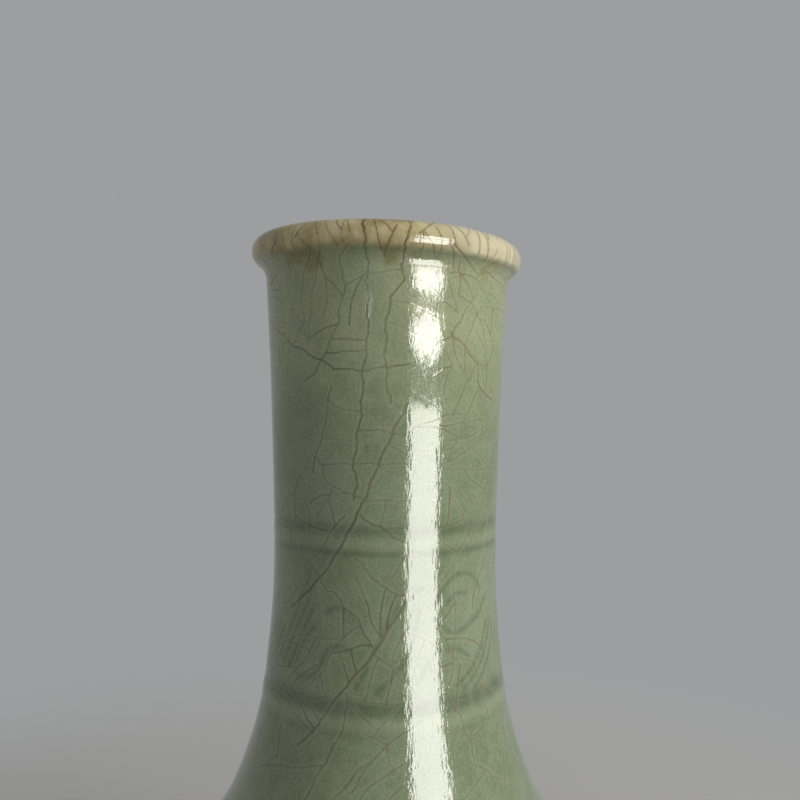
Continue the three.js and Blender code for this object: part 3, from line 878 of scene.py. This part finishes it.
def clayMaterial():
    look = clayLook
    colours = {"data_type": "RGBA"}
    material, tree = newMaterial("burntStoneware")
    place = addNode(tree, "ShaderNodeTexCoord", {}, {}).outputs["Object"]
    mm = addNode(tree, "ShaderNodeVectorMath", {"operation": "SCALE"},
                 {0: place, "Scale": 1 / metresPerMm}).outputs[0]
    height = addNode(tree, "ShaderNodeSeparateXYZ", {}, {0: mm}).outputs[2]
    patch = addNode(tree, "ShaderNodeTexNoise", {},
                    {"Vector": mm, "Scale": 1 / look["patchSize"], "Detail": 5, "Roughness": 0.6})
    colour = addNode(tree, "ShaderNodeMix", colours,
                     {0: patch.outputs[0], 6: linear(look["burnt"]), 7: linear(look["pale"])}).outputs[2]
    flash = addNode(tree, "ShaderNodeMapRange", {"interpolation_type": "SMOOTHSTEP"},
                    {"Value": height, "From Min": look["flashFrom"], "From Max": look["flashTo"],
                     "To Max": 0.8})
    colour = addNode(tree, "ShaderNodeMix", colours,
                     {0: flash.outputs[0], 6: colour, 7: linear(look["dark"])}).outputs[2]
    grains = addNode(tree, "ShaderNodeTexVoronoi", {}, {"Vector": mm, "Scale": 1 / look["grainApart"]})
    grain = addNode(tree, "ShaderNodeMapRange", {},
                    {"Value": grains.outputs["Distance"], "From Min": 0.08, "From Max": 0.2,
                     "To Min": 0.7, "To Max": 0})
    colour = addNode(tree, "ShaderNodeMix", colours,
                     {0: grain.outputs[0], 6: colour, 7: linear(look["dark"])}).outputs[2]
    rough = addNode(tree, "ShaderNodeTexNoise", {},
                    {"Vector": mm, "Scale": 1 / look["roughSize"], "Detail": 4})
    bump = addNode(tree, "ShaderNodeBump", {},
                   {"Distance": look["roughDepth"] * metresPerMm, "Height": rough.outputs[0]})
    shader = addNode(tree, "ShaderNodeBsdfPrincipled", {},
                     {"Base Color": colour, "Roughness": look["roughness"], "IOR": look["ior"],
                      "Normal": bump.outputs[0]})
    addNode(tree, "ShaderNodeOutputMaterial", {}, {"Surface": shader.outputs[0]})
    return material


print("materials")
celadon = glazeMaterial("crackledCeladonGlaze", False)
thinGlaze = glazeMaterial("thinPaleLipGlaze", True)
clay = clayMaterial()

print("crackle")
network = crackleNetwork()
print(f"{len(network)} cracks")

print("pieces")
form = vaseForm

# Rows up each section and columns round it, closest where cracks and carving need them.
meshForm = {
    "bodyRows": 88, "bodyColumns": 640,
    "shoulderRows": 68, "closeFrom": 112, "closeStep": 0.4, "closeRows": 86, "shoulderColumns": 560,
    "lowerNeckRows": 128, "lowerNeckColumns": 600, "upperNeckRows": 176, "upperNeckColumns": 520,
    "shoulderInner": 5, "upperNeckInner": 6,      # mm between rows inside
}
bodyHeights = np.linspace(form["footJoint"], form["bellySeam"], meshForm["bodyRows"])
shoulderHeights = np.concatenate([
    np.linspace(form["bellySeam"], meshForm["closeFrom"], meshForm["shoulderRows"]),
    np.linspace(meshForm["closeFrom"] + meshForm["closeStep"], form["shoulderTop"], meshForm["closeRows"])])
neckHeights = np.linspace(form["shoulderTop"], form["neckJoint"], meshForm["lowerNeckRows"])
topHeights = np.linspace(form["neckJoint"], form["lipSeam"], meshForm["upperNeckRows"])
pieces = (
    ("foot", "foot_ring", "bare_clay", clay, footRows(), footForm["columns"]),
    ("base", "base_disc", "celadon_glaze", celadon, baseRows(), baseForm["columns"]),
    ("lowerBody", "lower_body", "celadon_glaze", celadon,
     wallSection(form["footJoint"], form["bellySeam"], bodyHeights, floor=lowerBodyFloor()),
     meshForm["bodyColumns"]),
    ("shoulder", "shoulder", "celadon_glaze", celadon,
     wallSection(form["bellySeam"], form["shoulderTop"], shoulderHeights, meshForm["shoulderInner"]),
     meshForm["shoulderColumns"]),
    ("lowerString", "lower_string", "celadon_glaze", celadon, stringRows(form["shoulderTop"]),
     meshForm["lowerNeckColumns"]),
    ("lowerNeck", "lower_neck", "celadon_glaze", celadon,
     wallSection(form["shoulderTop"], form["neckJoint"], neckHeights), meshForm["lowerNeckColumns"]),
    ("upperString", "upper_string", "celadon_glaze", celadon, stringRows(form["neckJoint"]),
     meshForm["lowerNeckColumns"]),
    ("upperNeck", "upper_neck", "celadon_glaze", celadon,
     wallSection(form["neckJoint"], form["lipSeam"], topHeights, meshForm["upperNeckInner"]),
     meshForm["upperNeckColumns"]),
    ("lip", "mouth_rim", "lip_glaze", thinGlaze, lipRows(), lipForm["columns"]),
)
for name, node, slot, material, profile, columns in pieces:
    piece = makeTurned(name, profile[0], profile[1], columns, *profile[2:])
    piece.data.materials.append(material)
    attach(piece, "root")
    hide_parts(node)

print("stage and light")
stageForm = {
    "backdrop": "9d9e9f", "floor": "a6a5a2", "floorRadius": 0.5, "fadeStart": 0.2,     # metres
    "floorCorners": 96,
    "skyLevel": 0.3,
    "windowTint": (1, 0.985, 0.93),
}


def addFloor():
    # A disc under the vase whose edge fades into the backdrop.
    radius = stageForm["floorRadius"]
    corners = stageForm["floorCorners"]
    angle = np.linspace(0, 2 * math.pi, corners, endpoint=False)
    points = np.stack([radius * np.cos(angle), radius * np.sin(angle), np.zeros(corners)], 1)
    mesh = bpy.data.meshes.new("floor")
    mesh.from_pydata(points.tolist(), [], [list(range(corners))])
    floor = bpy.data.objects.new("floor", mesh)
    bpy.context.scene.collection.objects.link(floor)
    material, tree = newMaterial("paleFloor")
    place = addNode(tree, "ShaderNodeTexCoord", {}, {}).outputs["Object"]
    away = addNode(tree, "ShaderNodeVectorMath", {"operation": "LENGTH"}, {0: place}).outputs["Value"]
    fade = addNode(tree, "ShaderNodeMapRange", {"interpolation_type": "SMOOTHSTEP"},
                   {"Value": away, "From Min": stageForm["fadeStart"], "From Max": radius})
    matt = addNode(tree, "ShaderNodeBsdfDiffuse", {}, {"Color": linear(stageForm["floor"])})
    clear = addNode(tree, "ShaderNodeBsdfTransparent", {}, {})
    mixed = addNode(tree, "ShaderNodeMixShader", {},
                    {0: fade.outputs[0], 1: matt.outputs[0], 2: clear.outputs[0]})
    addNode(tree, "ShaderNodeOutputMaterial", {}, {"Surface": mixed.outputs[0]})
    mesh.materials.append(material)


def addPanel(name, azimuth, distance, low, high, width, watts, shape="RECTANGLE", glossOnly=False, lift=0):
    # An upright area lamp at an azimuth round the vase, turned to face the axis.
    light = bpy.data.lights.new(name, "AREA")
    light.shape = shape
    light.size = width
    light.size_y = high - low
    light.energy = watts
    light.color = stageForm["windowTint"] if glossOnly else (1, 1, 1)
    lamp = bpy.data.objects.new(name, light)
    bpy.context.scene.collection.objects.link(lamp)
    turn = math.radians(azimuth)
    spot = Vector((math.sin(turn) * distance, -math.cos(turn) * distance, (low + high) / 2))
    aim = Vector((0, 0, (low + high) / 2 - lift)) - spot
    lamp.matrix_world = Matrix.Translation(spot) @ aim.to_track_quat("-Z", "Y").to_matrix().to_4x4()
    lamp.visible_camera = False
    lamp.visible_diffuse = not glossOnly
    lamp.visible_glossy = glossOnly
    return lamp


addFloor()
addPanel("windowGloss", 35, 0.25, 0.05, 0.207, 0.13, 0.9, glossOnly=True)
addPanel("upperGloss", 35, 0.25, 0.222, 0.243, 0.13, 0.14, shape="ELLIPSE", glossOnly=True)
addPanel("topGloss", 35, 0.25, 0.252, 0.27, 0.13, 0.12, shape="ELLIPSE", glossOnly=True)
addPanel("slitGloss", -16, 0.25, 0.238, 0.252, 0.006, 0.002, glossOnly=True)
addPanel("keyLight", 58, 0.8, 0.15, 0.75, 0.5, 7.8, lift=0.25)
addPanel("fillLight", -60, 0.9, 0.1, 0.6, 0.5, 0.5, lift=0.1)
addPanel("backLight", 170, 0.9, 0.2, 0.7, 0.6, 4.0, lift=0.2)

world = bpy.data.worlds.new("room")
bpy.context.scene.world = world
world.use_nodes = True
tree = world.node_tree
tree.nodes.clear()
path = addNode(tree, "ShaderNodeLightPath", {}, {})
seen = addNode(tree, "ShaderNodeMath", {"operation": "MAXIMUM"},
               {0: path.outputs["Is Camera Ray"], 1: path.outputs["Is Glossy Ray"]})
seen = addNode(tree, "ShaderNodeMath", {"operation": "MAXIMUM"},
               {0: seen.outputs[0], 1: path.outputs["Is Transmission Ray"]})
sky = addNode(tree, "ShaderNodeBackground", {}, {"Color": (1, 1, 1, 1), "Strength": stageForm["skyLevel"]})
backdrop = addNode(tree, "ShaderNodeBackground", {}, {"Color": linear(stageForm["backdrop"]), "Strength": 1})
both = addNode(tree, "ShaderNodeMixShader", {},
               {0: seen.outputs[0], 1: sky.outputs[0], 2: backdrop.outputs[0]})
addNode(tree, "ShaderNodeOutputWorld", {}, {"Surface": both.outputs[0]})

bpy.context.scene.view_settings.view_transform = "Standard"

print("done")
